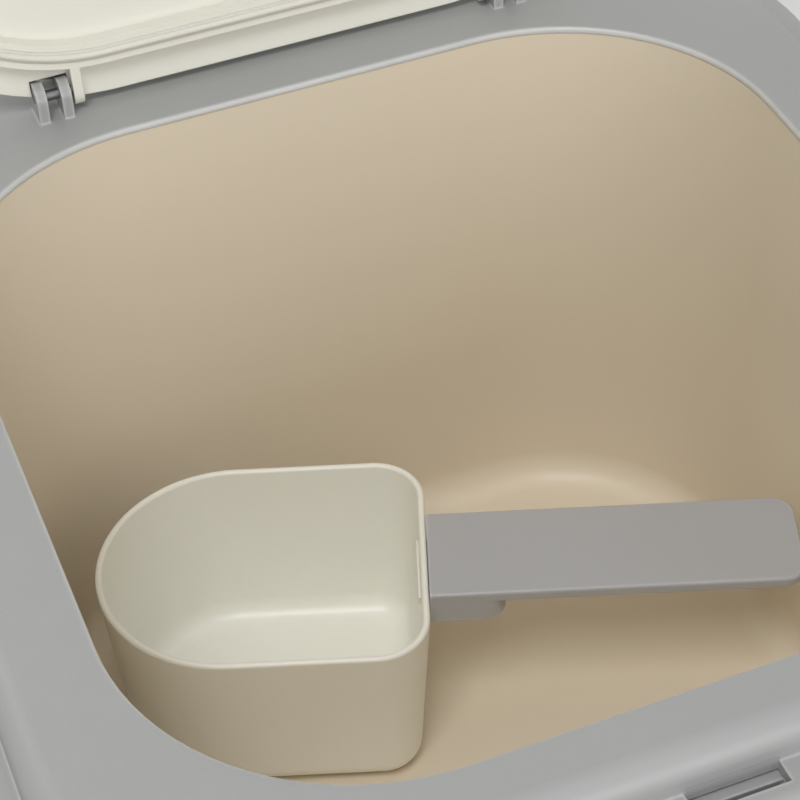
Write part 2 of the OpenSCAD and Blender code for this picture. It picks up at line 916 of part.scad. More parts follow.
// --- Latch ---

module latch_button() {
    color(frame_colour)
        difference() {
            union() {
                button_block(skirt_y - button_proud, button_back_y, 0);
                translate([-slider_w / 2, button_back_y - lap, slider_z])
                    cube([slider_w, slider_back_y - button_back_y + lap, slider_t]);
                for (x = [-1, 1])
                    translate([x * slider_w / 2 - stop_tab_w, stop_tab_y, slider_z])
                        cube([2 * stop_tab_w, stop_tab_l, slider_t]);
                for (x = [-1, 1])
                    translate([x * spring_x, spring_front_y + peg_l, spring_z])
                        rotate([90, 0, 0])
                            cylinder(h = peg_l + lap, r = peg_r);
            }
            translate([-hook_w / 2 - slot_gap, window_front_y, hook_bottom_z - slot_gap])
                cube([hook_w + 2 * slot_gap, bar_y - window_front_y, button_top_z - hook_bottom_z + 2 * slot_gap]);
        }
}

// Plate with two rails, a back wall for the springs and two screw ears
module latch_guide() {
    wall_x = rail_x + rail_t;
    rail_l = guide_back_y - rail_front_y;
    color(frame_colour)
        difference() {
            union() {
                translate([-wall_x, rail_front_y, guide_z])
                    cube([2 * wall_x, rail_l, guide_t]);
                for (x = [-1, 1]) {
                    translate([x * (rail_x + rail_t / 2) - rail_t / 2, rail_front_y, guide_z])
                        cube([rail_t, rail_l, ledge_under_z - slide_gap - guide_z]);
                    translate([x * (rail_x - rail_shelf / 2) - rail_shelf / 2, rail_front_y, guide_z])
                        cube([rail_shelf, rail_l, slider_z - slide_gap / 2 - guide_z]);
                    translate([x * latch_ear_x, latch_ear_y, guide_z])
                        cylinder(h = latch_ear_z - guide_z, r = latch_ear_r);
                    translate([x * (latch_ear_x + wall_x) / 2 - ear_bridge_w / 2, latch_ear_y - latch_ear_r, guide_z])
                        cube([ear_bridge_w, 2 * latch_ear_r, guide_t]);
                    translate([x * spring_x, guide_back_y - lap, spring_z])
                        rotate([90, 0, 0])
                            cylinder(h = guide_wall_t - lap + peg_l, r = peg_r);
                }
                translate([-wall_x, guide_back_y - guide_wall_t, guide_z])
                    cube([2 * wall_x, guide_wall_t, slider_z - slide_gap - guide_z]);
            }
            for (x = [-1, 1]) {
                translate([x * slider_w / 2 - stop_tab_w - slide_gap, stop_tab_y - slide_gap, slider_z - slide_gap])
                    cube([
                        2 * (stop_tab_w + slide_gap),
                        stop_tab_l + button_travel + 2 * slide_gap,
                        slider_t + 2 * slide_gap
                    ]);
                translate([x * latch_ear_x, latch_ear_y, guide_z - over])
                    cylinder(h = screw_head_h + head_sink + over, r = screw_head_r + slide_gap);
                translate([x * latch_ear_x, latch_ear_y, guide_z])
                    cylinder(h = latch_ear_h + over, r = screw_hole_r);
            }
        }
}

module latch_screws() {
    color(metal_colour)
        for (x = [-1, 1])
            translate([x * latch_ear_x, latch_ear_y, guide_z + screw_head_h + head_sink])
                screw(latch_screw_l);
}

// A coil spring along Y between the button and the guide's back wall
module latch_spring(side) {
    coil_r = spring_r - spring_wire / 2;
    coil_l = spring_back_y - spring_front_y - spring_wire - pin_gap * 2;
    rings = spring_turns * spring_steps;
    points = [
        for (i = [0:rings])
            let (turn = 360 * i / spring_steps)
                for (k = [0:spring_sides - 1])
                    let (a = 360 * k / spring_sides, r = coil_r + spring_wire / 2 * cos(a))
                        [r * cos(turn), coil_l * i / rings + spring_wire / 2 * sin(a), r * sin(turn)]
    ];
    faces = concat(
        [[for (k = [0:spring_sides - 1]) k]],
        [
            for (i = [0:rings - 1], k = [0:spring_sides - 1])
                [
                    i * spring_sides + k,
                    (i + 1) * spring_sides + k,
                    (i + 1) * spring_sides + (k + 1) % spring_sides,
                    i * spring_sides + (k + 1) % spring_sides
                ]
        ],
        [[for (k = [spring_sides - 1:-1:0]) rings * spring_sides + k]]
    );
    color(metal_colour)
        translate([side * spring_x, spring_front_y + spring_wire / 2 + pin_gap, spring_z])
            polyhedron(points, faces);
}

module latch_spring_left() {
    latch_spring(-1);
}

module latch_spring_right() {
    latch_spring(1);
}

// --- Scoop ---

// Puts the scoop on the tub's floor
module on_floor() {
    translate([scoop_x, scoop_y, floor_z])
        rotate(scoop_turn)
            children();
}

// Sweeps a profile round the cup's rim: square at the back and half round at the front
module cup_sweep() {
    translate([-cup_l / 2, 0, 0])
        sweep_round(cup_l, cup_w, [cup_back_r, cup_front_r, cup_front_r, cup_back_r])
            children();
}

// Wall, rim and rounded base corner of the cup, measured from its outline
module cup_profile() {
    polygon([
        [-cup_t, cup_h - cup_t / 2],
        [0, cup_h - cup_t / 2],
        [-cup_draft, cup_base_r],
        [-cup_low, cup_base_r]
    ]);
    translate([-cup_t / 2, cup_h - cup_t / 2])
        circle(cup_t / 2);
    translate([-cup_draft - cup_base_r, cup_base_r])
        mirror([0, 1])
            bend(cup_base_r, cup_t, 2 * cup_lap, 0);
}

// The cup's flat base, inside its rounded corner
module cup_base_shape() {
    inset = cup_draft + cup_base_r + cup_lap;
    half_w = cup_w / 2 - inset;
    back_r = cup_back_r - inset;
    front_x = -cup_l + cup_front_r;
    translate([front_x, 0])
        circle(half_w);
    translate([front_x, -half_w])
        square([-cup_back_r - front_x, 2 * half_w]);
    translate([front_x, -half_w + back_r])
        square([-inset - front_x, 2 * half_w - 2 * back_r]);
    for (y = [-1, 1])
        translate([-cup_back_r, y * (half_w - back_r)])
            circle(back_r);
}

module scoop_cup() {
    color(cream_colour)
        on_floor() {
            cup_sweep()
                cup_profile();
            linear_extrude(cup_t)
                cup_base_shape();
            translate([-cup_t - cup_draft / 4, -tongue_w / 2, cup_h - tongue_drop - tongue_t])
                cube([tongue_l + cup_t + cup_draft / 4, tongue_w, tongue_t]);
        }
}

// Flat bar with a socket below that takes the cup's tongue
module scoop_handle() {
    socket_z = tongue_drop + tongue_t + slide_gap / 2 + socket_t;
    color(frame_colour)
        on_floor()
            difference() {
                union() {
                    translate([slide_gap / 2, 0, cup_h - handle_t])
                        handle_bar();
                    translate([slide_gap / 2, 0, cup_h - socket_z])
                        linear_extrude(socket_z - handle_t / 2)
                            bar_outline(socket_l);
                }
                translate([-over, -tongue_w / 2 - slide_gap / 2, cup_h - tongue_drop - tongue_t - slide_gap / 2])
                    cube([tongue_l + over + slide_gap, tongue_w + slide_gap, tongue_t + slide_gap]);
            }
}

// The handle's bar, with rounded edges all round, cut square at the cup
module handle_bar() {
    edge_w = 3 * handle_edge;
    difference() {
        translate([(handle_l - handle_r) / 2, 0, 0]) {
            sweep_round(handle_l + handle_r, handle_w, all_four(handle_r))
                translate([-edge_w / 2, handle_t / 2])
                    rounded(edge_w, handle_t, handle_edge);
            linear_extrude(handle_t)
                rounded(handle_l + handle_r - edge_w, handle_w - edge_w, handle_r - edge_w / 2);
        }
        translate([-handle_r - over, -handle_w / 2 - over, -over])
            cube([handle_r + over, handle_w + 2 * over, handle_t + 2 * over]);
    }
}

// The socket's outline: square at the cup and rounded at its far end
module bar_outline(l) {
    translate([0, -handle_w / 2])
        square([l - handle_r, handle_w]);
    translate([0, -handle_w / 2 + handle_r])
        square([l, handle_w - 2 * handle_r]);
    for (y = [-1, 1])
        translate([l - handle_r, y * (handle_w / 2 - handle_r)])
            circle(handle_r);
}

outer_body();
body_screws();
tub();
top_frame();
frame_screws();
foot_front_left();
foot_front_right();
foot_back_left();
foot_back_right();
hinge_pin_left();
hinge_pin_right();
lid_panel();
lid_cover();
lid_seal();
latch_button();
latch_guide();
latch_screws();
latch_spring_left();
latch_spring_right();
scoop_cup();
scoop_handle();
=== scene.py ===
"""Rice bin with a flip lid: finishes, stage and small repeated detail.

Run as a script. Each operator makes one piece, or one group of like pieces, around the
packed construction. The last operator makes the stage. Lengths are in metres.
"""

import json
import math

import bmesh
import bpy
from bpy.props import FloatProperty, FloatVectorProperty, PointerProperty
from mathutils import Matrix, Vector

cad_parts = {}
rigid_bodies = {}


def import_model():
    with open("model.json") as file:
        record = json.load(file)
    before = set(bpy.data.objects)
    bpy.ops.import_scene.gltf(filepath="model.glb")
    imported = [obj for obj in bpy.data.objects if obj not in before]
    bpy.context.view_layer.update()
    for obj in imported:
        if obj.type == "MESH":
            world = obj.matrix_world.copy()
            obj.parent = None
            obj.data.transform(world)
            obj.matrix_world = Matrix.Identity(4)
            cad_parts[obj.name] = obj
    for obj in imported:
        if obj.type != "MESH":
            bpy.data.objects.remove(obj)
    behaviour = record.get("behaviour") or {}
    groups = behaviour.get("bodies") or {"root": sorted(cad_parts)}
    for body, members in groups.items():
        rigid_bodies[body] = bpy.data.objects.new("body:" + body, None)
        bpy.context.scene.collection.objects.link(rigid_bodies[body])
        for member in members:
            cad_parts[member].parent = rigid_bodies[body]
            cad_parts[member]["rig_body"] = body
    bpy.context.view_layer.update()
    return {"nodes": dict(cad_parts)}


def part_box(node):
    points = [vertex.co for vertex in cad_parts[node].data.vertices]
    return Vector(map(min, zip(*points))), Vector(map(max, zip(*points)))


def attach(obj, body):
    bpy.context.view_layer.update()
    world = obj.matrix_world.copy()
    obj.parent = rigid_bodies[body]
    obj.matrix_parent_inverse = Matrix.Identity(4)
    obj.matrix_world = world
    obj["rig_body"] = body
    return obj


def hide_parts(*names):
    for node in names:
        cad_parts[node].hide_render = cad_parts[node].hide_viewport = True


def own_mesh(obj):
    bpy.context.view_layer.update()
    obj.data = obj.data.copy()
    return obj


bl_info = {
    "name": "Rice bin",
    "version": (1, 0, 0),
    "blender": (4, 5, 0),
    "location": "3D View > Sidebar > Rice bin",
    "description": "Finishes and fine detail of a rice bin with a flip lid",
    "category": "Object",
}

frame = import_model()
MM = 0.001

# Rounded edge of the frame at the opening, which gets a painted highlight: how far its flat
# lies above the tub's wall, and half the width and half the depth of its outer outline
RIM_RISE = 1.4 * MM
RIM_HALF_WIDTH = 89.6 * MM
RIM_HALF_DEPTH = 95.6 * MM
RIM_REACH = 2.0 * MM  # how far down the edge the painted highlight reaches

# Bevel nodes: the radius that finds the edges given a painted highlight, and the samples taken
# round a point
EDGE_HIGHLIGHT_RADIUS = 1.1 * MM
BEVEL_SAMPLES = 6

# What hairline marks, dust and the painted edge highlight with its polish do to a plastic where
# their masks are 1
MARK_ROUGHNESS = 0.2  # added to the roughness
MARK_DEPTH = 1.5  # taken off the height
DUST_ROUGHNESS = 0.3  # added to the roughness
HIGHLIGHT_PALENESS = 0.6  # way from the plastic's colour to white
POLISH_SMOOTHNESS = 0.04  # taken off the roughness

# Screws: the neck before the thread, the tapered tip, and the blunt end past the thread
SCREW_NECK = 0.8 * MM
SCREW_TIP = 1.6 * MM
SCREW_END = 0.15 * MM
SCREW_SEGMENTS = 28
ROWS_PER_TURN = 8
FLANK_SLOPE = 3.2  # steepness of the thread's flanks: thread heights in one pitch
THREAD_START = 0.6  # turns over which the thread grows to its full height
TIP_TAPER = 0.55  # share of its radius that the thread loses at the tip
# Pan head, as shares of the head's radius and height
HEAD_PROFILE = (
    (0, 1), (0.42, 1), (0.62, 0.95), (0.80, 0.80), (0.93, 0.56), (1, 0.28), (1, 0.08), (0.97, 0),
)

# Cross recess, as shares of the head's radius: reach and half width of an arm
CROSS_REACH = 0.56
CROSS_HALF = 0.13
WELD = 0.002 * MM  # corners of the construction that are nearer than this are one

# Feet: inner edges of the grip rings as shares of the radius, then one ring and the groove
# outside it, and the rounded side, each as (share of the radius, height)
RING_STARTS = (0.22, 0.40, 0.58, 0.76)
RING = ((0, 0.12 * MM), (0.02, 0), (0.09, 0), (0.11, 0.12 * MM))
GROOVE = ((0.125, 0.45 * MM), (0.165, 0.45 * MM))
FOOT_SIDE = ((0.90, 0.14 * MM), (0.95, 0.42 * MM), (0.985, 0.72 * MM), (1, 1.1 * MM))
FOOT_HOLLOW = (0.17, 0.5 * MM)
FOOT_SEGMENTS = 64

# Stage: the floor lies a little below the feet, so that the two share no plane, and fades
# into the background between two distances from the middle
FLOOR_SIZE = 12.0
FLOOR_DROP = 0.1 * MM
FLOOR_FADE = (0.35, 1.1)
FLOOR_SHADE = 0.98  # the floor's darker patches, as a share of its colour
# Each lamp's name, its power in the sidebar, its place, where it aims and its size
LAMPS = (
    ("Key", "key", (-0.35, -0.60, 1.35), (0, 0.02, 0.15), 0.5),
    ("Fill", "fill", (0.30, -2.40, 0.62), (0, 0.1, 0.24), 1.3),
    ("Back", "back", (-0.70, 2.00, 1.20), (0, 0.1, 0.20), 1.2),
)
CAMERA_AIM = (-18.57 * MM, -9.89 * MM, 150.8 * MM)


def linear(red, green, blue):
    """A colour given in display values from 0 to 255, as the linear one that Blender uses."""
    made = []
    for value in (red, green, blue):
        c = value / 255
        made.append(c / 12.92 if c <= 0.04045 else ((c + 0.055) / 1.055) ** 2.4)
    return tuple(made)


DUST_COLOUR = (*linear(232, 226, 208), 1)


def colour_property(name, description, default):
    return FloatVectorProperty(
        name=name, description=description, subtype="COLOR", size=3, min=0, max=1,
        default=linear(*default),
    )


def length_property(name, description, default):
    return FloatProperty(
        name=name, description=description, unit="LENGTH", min=0, default=default
    )


def angle_property(name, description, degrees):
    return FloatProperty(
        name=name, description=description, subtype="ANGLE", default=math.radians(degrees)
    )


def power_property(name, description, default):
    return FloatProperty(
        name=name, description=description, unit="POWER", min=0, default=default
    )


class RiceBinFinish(bpy.types.PropertyGroup):
    frame_grey: colour_property(
        "Frame", "Satin plastic of the top frame and the latch", (167, 168, 167)
    )
    cream: colour_property("Cream", "Plastic of the outer body and the lid", (230, 229, 218))
    # Tub: cream made darker and warmer than the lid's, partly its own tone and partly painted
    # shade and painted warm bounce light
    tub_cream: colour_property("Tub", "Warmer plastic of the inner tub", (229, 217, 196))
    scoop_cream: colour_property(
        "Scoop", "Glossier plastic of the scoop's cup", (244, 243, 234)
    )
    handle_grey: colour_property("Handle", "Plastic of the scoop's handle", (178, 179, 182))
    seal_white: colour_property("Seal", "Silicone ring in the lid", (221, 219, 209))
    rubber_black: colour_property("Feet", "Rubber of the feet", (52, 52, 54))
    zinc: colour_property("Steel", "Zinc-plated screws and springs", (190, 192, 196))
    # Pins: plain steel, its dark tone partly painted shade so the pin sits in the shaded gap
    # between the hinge ears
    pin_grey: colour_property("Pins", "Plain steel of the hinge pins", (120, 121, 124))


class RiceBinEdges(bpy.types.PropertyGroup):
    frame_edge: length_property(
        "Frame edges", "Rounding of the grey parts' sharp edges", 0.35 * MM
    )
    cream_edge: length_property(
        "Cream edges", "Rounding of the lid's and the body's sharp edges", 0.35 * MM
    )
    tub_edge: length_property(
        "Tub edges", "Rounding of the tub's and the cup's sharp edges", 0.30 * MM
    )
    soft_edge: length_property(
        "Rubber edges", "Rounding of the seal's and the feet's edges", 0.20 * MM
    )


class RiceBinFasteners(bpy.types.PropertyGroup):
    head_radius: length_property("Head radius", "Radius of the screws' pan heads", 2.8 * MM)
    head_height: length_property("Head height", "Height of the screws' pan heads", 1.6 * MM)
    shank_radius: length_property(
        "Thread radius", "Outer radius of the screws' threads", 1.4 * MM
    )
    core_radius: length_property("Core radius", "Radius at the root of the threads", 1.0 * MM)
    pitch: length_property("Pitch", "Rise of the thread in one turn", 1.3 * MM)
    wire_radius: length_property("Wire radius", "Radius of the springs' wire", 0.25 * MM)
    coil_turns: FloatProperty(
        name="Turns", description="Turns of wire in each spring", default=7.5, min=2
    )


class RiceBinStage(bpy.types.PropertyGroup):
    floor: colour_property("Floor", "Colour of the floor and the background", (246, 246, 244))
    world: FloatProperty(
        name="World", description="Strength of the even light", default=0.40, min=0
    )
    key: power_property("Key lamp", "Power of the lamp above the front", 8.0)
    fill: power_property("Fill lamp", "Power of the low lamp in front", 18.0)
    back: power_property("Back lamp", "Power of the lamp behind", 9.0)
    azimuth: angle_property("Azimuth", "Turn of the view to the right of the front", -19.48)
    elevation: angle_property("Elevation", "Height of the view above the horizon", 42.28)
    roll: angle_property("Roll", "Turn of the camera about its own line of sight", -3.16)
    distance: length_property(
        "Distance", "From the camera to the point that it looks at", 445.28 * MM
    )
    lens: FloatProperty(
        name="Lens", description="Focal length", subtype="DISTANCE_CAMERA", default=107.92
    )


# --- Nodes ---


def set_inputs(tree, node, inputs):
    """Sets or links a node's inputs by name or number."""
    for name, value in inputs.items():
        socket = node.inputs[name]
        if isinstance(value, bpy.types.NodeSocket):
            tree.links.new(value, socket)
        else:
            socket.default_value = value


def add_node(tree, kind, inputs=None, **settings):
    """Adds a node, sets its settings, and sets or links its inputs."""
    made = tree.nodes.new(kind)
    for name, value in settings.items():
        setattr(made, name, value)
    set_inputs(tree, made, inputs or {})
    return made


def new_group(name, inputs, outputs):
    """A shader node group with named sockets. Gives the group and its two end nodes."""
    tree = bpy.data.node_groups.new(name, "ShaderNodeTree")
    for label, kind, default in inputs:
        socket = tree.interface.new_socket(label, in_out="INPUT", socket_type=kind)
        if default is not None:
            socket.default_value = default
    for label, kind in outputs:
        tree.interface.new_socket(label, in_out="OUTPUT", socket_type=kind)
    return tree, tree.nodes.new("NodeGroupInput"), tree.nodes.new("NodeGroupOutput")


def math_node(tree, operation, a, b=0.0, clamp=False):
    made = add_node(
        tree, "ShaderNodeMath", {0: a, 1: b}, operation=operation, use_clamp=clamp
    )
    return made.outputs[0]


def product(tree, *values, clamp=False):
    """The product of two or more values, clamped at the end or not."""
    made = values[0]
    for value in values[1:-1]:
        made = math_node(tree, "MULTIPLY", made, value)
    return math_node(tree, "MULTIPLY", made, values[-1], clamp)


def noise(tree, vector, scale, detail=2.0, rough=0.5):
    made = add_node(
        tree, "ShaderNodeTexNoise",
        {"Vector": vector, "Scale": scale, "Detail": detail, "Roughness": rough},
    )
    return made.outputs["Fac"]


def spread(tree, value, low, high):
    """Stretches a value from low..high to 0..1, smoothly."""
    made = add_node(
        tree, "ShaderNodeMapRange", {"Value": value, "From Min": low, "From Max": high},
        interpolation_type="SMOOTHSTEP",
    )
    return made.outputs["Result"]


def uneven(tree, vector, scale, low, high, least):
    """A share that changes slowly over the surface, between least and 1."""
    share = spread(tree, noise(tree, vector, scale, detail=3.0), low, high)
    return math_node(tree, "ADD", math_node(tree, "MULTIPLY", share, 1 - least), least)


def mixed(tree, mask, under, over):
    """One colour over another, by a mask."""
    made = add_node(
        tree, "ShaderNodeMix", {"Factor": mask, "A": under, "B": over}, data_type="RGBA"
    )
    return made.outputs["Result"]


def moulded_group():
    """Slow drift of colour and gloss from the flow of the melt, and the mould's fine grain."""
    tree, ends, out = new_group(
        "Moulded surface",
        [
            ("Vector", "NodeSocketVector", None),
            ("Colour", "NodeSocketColor", (0.8, 0.8, 0.8, 1)),
            ("Drift", "NodeSocketFloat", 0.03),
            ("Gloss", "NodeSocketFloat", 0.4),
            ("Gloss drift", "NodeSocketFloat", 0.06),
            ("Grain", "NodeSocketFloat", 1400.0),
        ],
        [
            ("Colour", "NodeSocketColor"),
            ("Roughness", "NodeSocketFloat"),
            ("Height", "NodeSocketFloat"),
        ],
    )
    vector = ends.outputs["Vector"]
    slow = noise(tree, vector, scale=14.0, detail=3.0)
    mid = noise(tree, vector, scale=160.0)
    fine = noise(tree, vector, scale=ends.outputs["Grain"], rough=0.6)
    shift = product(tree, math_node(tree, "SUBTRACT", slow, 0.5), ends.outputs["Drift"], 2.0)
    tint = add_node(
        tree, "ShaderNodeHueSaturation",
        {"Color": ends.outputs["Colour"], "Value": math_node(tree, "ADD", shift, 1.0)},
    )
    change = math_node(tree, "SUBTRACT", math_node(tree, "ADD", slow, mid), 1.0)
    change = math_node(tree, "MULTIPLY", change, ends.outputs["Gloss drift"])
    set_inputs(tree, out, {
        "Colour": tint.outputs[0],
        "Roughness": math_node(tree, "ADD", change, ends.outputs["Gloss"], clamp=True),
        "Height": math_node(tree, "ADD", fine, math_node(tree, "MULTIPLY", mid, 0.8)),
    })
    return tree


def hairline_group():
    """Fine handling marks: thin stretched lines in two directions, here and there."""
    tree, ends, out = new_group(
        "Hairline marks",
        [("Vector", "NodeSocketVector", None), ("Amount", "NodeSocketFloat", 0.5)],
        [("Mask", "NodeSocketFloat")],
    )
    vector = ends.outputs["Vector"]
    lines = []
    for turn, stretch in (
        ((0.3, 0.2, 0.5), (26.0, 2400.0, 2400.0)),
        ((0.1, 0.6, 2.1), (34.0, 2900.0, 2900.0)),
    ):
        place = add_node(
            tree, "ShaderNodeMapping", {"Vector": vector, "Rotation": turn, "Scale": stretch}
        )
        line = noise(tree, place.outputs[0], scale=1.0, detail=1.0)
        lines.append(spread(tree, line, low=0.66, high=0.76))
    where = spread(tree, noise(tree, vector, scale=30.0), low=0.48, high=0.62)
    both = math_node(tree, "MAXIMUM", *lines)
    mask = product(tree, both, where, ends.outputs["Amount"], clamp=True)
    set_inputs(tree, out, {"Mask": mask})
    return tree


def dust_group():
    """A little meal dust that settles in soft patches on faces that look up."""
    tree, ends, out = new_group(
        "Settled dust",
        [
            ("Vector", "NodeSocketVector", None),
            ("Normal", "NodeSocketVector", None),
            ("Amount", "NodeSocketFloat", 0.3),
        ],
        [("Mask", "NodeSocketFloat")],
    )
    vector = ends.outputs["Vector"]
    up = add_node(tree, "ShaderNodeSeparateXYZ", {0: ends.outputs["Normal"]}).outputs["Z"]
    level = spread(tree, up, low=0.55, high=0.98)
    patches = noise(tree, vector, scale=45.0, detail=5.0, rough=0.62)
    patches = spread(tree, patches, low=0.42, high=0.78)
    specks = spread(tree, noise(tree, vector, scale=1500.0), low=0.64, high=0.72)
    both = math_node(
        tree, "ADD", math_node(tree, "MULTIPLY", patches, 0.55), specks, clamp=True
    )
    mask = product(tree, both, level, ends.outputs["Amount"], clamp=True)
    set_inputs(tree, out, {"Mask": mask})
    return tree


def edge_group():
    """Painted highlight on edges, with a little polish: strongest where the surface turns, and a
    little uneven along them.
    """
    tree, ends, out = new_group(
        "Polished edges",
        [
            ("Vector", "NodeSocketVector", None),
            ("Facing", "NodeSocketFloat", 1.0),
            ("Amount", "NodeSocketFloat", 0.5),
        ],
        [("Mask", "NodeSocketFloat")],
    )
    turned = spread(tree, ends.outputs["Facing"], low=0.995, high=0.93)
    share = uneven(tree, ends.outputs["Vector"], scale=220.0, low=0.2, high=0.7, least=0.7)
    mask = product(tree, turned, share, ends.outputs["Amount"], clamp=True)
    set_inputs(tree, out, {"Mask": mask})
    return tree


def rim_group():
    """Painted highlight on the rounded edge of an opening, from the flat above it a little way
    down.
    """
    tree, ends, out = new_group(
        "Rubbed rim",
        [
            ("Vector", "NodeSocketVector", None),
            ("Height", "NodeSocketFloat", 0.15),
            ("Half width", "NodeSocketFloat", 0.09),
            ("Half depth", "NodeSocketFloat", 0.09),
            ("Fade", "NodeSocketFloat", 0.25 * MM),
            ("Amount", "NodeSocketFloat", 0.6),
        ],
        [("Mask", "NodeSocketFloat")],
    )
    place = add_node(tree, "ShaderNodeSeparateXYZ", {0: ends.outputs["Vector"]})
    below = math_node(tree, "SUBTRACT", ends.outputs["Height"], place.outputs["Z"])
    parts = [math_node(tree, "DIVIDE", below, ends.outputs["Fade"], clamp=True)]
    for axis, half in (("X", "Half width"), ("Y", "Half depth")):
        away = math_node(tree, "ABSOLUTE", place.outputs[axis])
        parts.append(math_node(tree, "LESS_THAN", away, ends.outputs[half]))
    parts.append(math_node(tree, "LESS_THAN", below, RIM_REACH))
    parts.append(
        uneven(tree, ends.outputs["Vector"], scale=60.0, low=0.25, high=0.65, least=0.8)
    )
    mask = product(tree, *parts, ends.outputs["Amount"], clamp=True)
    set_inputs(tree, out, {"Mask": mask})
    return tree


GROUP_MAKERS = {
    "moulded": moulded_group,
    "hairline": hairline_group,
    "dust": dust_group,
    "edges": edge_group,
    "rim": rim_group,
}
SHARED = {}


def placed(tree, name, inputs):
    """Places a shared group, which is built once, and sets or links its inputs."""
    if name not in SHARED:
        SHARED[name] = GROUP_MAKERS[name]()
    return add_node(tree, "ShaderNodeGroup", inputs, node_tree=SHARED[name])


def new_material(name):
    """A material with nodes. Gives it, its tree, its shader and a texture coordinate node."""
    material = bpy.data.materials.new(name)
    material.use_nodes = True
    tree = material.node_tree
    place = add_node(tree, "ShaderNodeTexCoord")
    return material, tree, tree.nodes["Principled BSDF"], place


def painted_edge_highlight(tree, vector, highlight_and_polish):
    """Mask of edges that stand out and get a painted highlight, found by how a wide bevel would
    turn the surface.
    """
    wide = add_node(
        tree, "ShaderNodeBevel", {"Radius": EDGE_HIGHLIGHT_RADIUS}, samples=BEVEL_SAMPLES
    )
    true = add_node(tree, "ShaderNodeNewGeometry")
    turned = add_node(
        tree, "ShaderNodeVectorMath", {0: wide.outputs[0], 1: true.outputs["True Normal"]},
        operation="DOT_PRODUCT",
    )
    inputs = {"Facing": turned.outputs["Value"], "Vector": vector, "Amount": highlight_and_polish}
    return placed(tree, "edges", inputs).outputs["Mask"]


def plastic(name, colour, edge, gloss=0.4, drift=0.02, gloss_drift=0.05, grain=1400.0,
            relief=0.02, marks=0.25, dust=0.0, highlight_and_polish=0.0, rim=None, shader=None):
    """A moulded plastic: drift and grain, softened edges, hairline marks, and dust where it
    looks up. Highlight and polish paints rounded edges paler as a painted highlight, and makes
    them a little smoother. Rim gives the height, half width and half depth of an opening whose
    rounded edge gets the same painted highlight."""
    material, tree, surface, place = new_material(name)
    vector = place.outputs["Object"]
    body = placed(tree, "moulded", {
        "Vector": vector, "Colour": (*colour, 1), "Drift": drift, "Gloss": gloss,
        "Gloss drift": gloss_drift, "Grain": grain,
    })
    lines = placed(tree, "hairline", {"Vector": vector, "Amount": marks}).outputs["Mask"]
    look = body.outputs["Colour"]
    rough = math_node(
        tree, "ADD", body.outputs["Roughness"],
        math_node(tree, "MULTIPLY", lines, MARK_ROUGHNESS),
    )
    height = math_node(
        tree, "SUBTRACT", body.outputs["Height"],
        math_node(tree, "MULTIPLY", lines, MARK_DEPTH),
    )
    if dust > 0:
        inputs = {"Vector": vector, "Normal": place.outputs["Normal"], "Amount": dust}
        settled = placed(tree, "dust", inputs).outputs["Mask"]
        look = mixed(tree, settled, look, DUST_COLOUR)
        duller = math_node(tree, "MULTIPLY", settled, DUST_ROUGHNESS)
        rough = math_node(tree, "ADD", rough, duller, clamp=True)
    if highlight_and_polish > 0:
        # Painted highlight: rounded edges, and the opening's rim where given, are mixed towards
        # white and made a little smoother
        highlight_at = painted_edge_highlight(tree, vector, highlight_and_polish)
        if rim:
            inputs = dict(zip(("Height", "Half width", "Half depth"), rim))
            # Painted highlight along the opening's rounded edge
            rim_highlight = placed(tree, "rim", {"Vector": vector, **inputs})
            highlight_at = math_node(tree, "MAXIMUM", highlight_at, rim_highlight.outputs["Mask"])
        pale = (*(c + HIGHLIGHT_PALENESS * (1 - c) for c in colour), 1)
        look = mixed(tree, highlight_at, look, pale)
        smoother = math_node(tree, "MULTIPLY", highlight_at, POLISH_SMOOTHNESS)
        rough = math_node(tree, "SUBTRACT", rough, smoother, clamp=True)
    softened = add_node(tree, "ShaderNodeBevel", {"Radius": edge}, samples=BEVEL_SAMPLES)
    bump = add_node(
        tree, "ShaderNodeBump",
        {
            "Height": height, "Strength": 1.0, "Distance": relief * MM,
            "Normal": softened.outputs[0],
        },
    )
    set_inputs(
        tree, surface, {"Base Color": look, "Roughness": rough, "Normal": bump.outputs[0]}
    )
    set_inputs(tree, surface, shader or {})
    return material


def steel(name, colour, gloss):
    """Plated or plain steel, with a fine grain and a slightly uneven tone and gloss."""
    material, tree, surface, place = new_material(name)
    body = placed(tree, "moulded", {
        "Vector": place.outputs["Object"], "Colour": (*colour, 1), "Drift": 0.08,
        "Gloss": gloss, "Gloss drift": 0.08, "Grain": 3000.0,
    })
    bump = add_node(
        tree, "ShaderNodeBump",
        {"Height": body.outputs["Height"], "Strength": 1.0, "Distance": 0.01 * MM},
    )
    set_inputs(tree, surface, {
        "Base Color": body.outputs["Colour"], "Roughness": body.outputs["Roughness"],
        "Normal": bump.outputs[0], "Metallic": 1.0,
    })
    return material


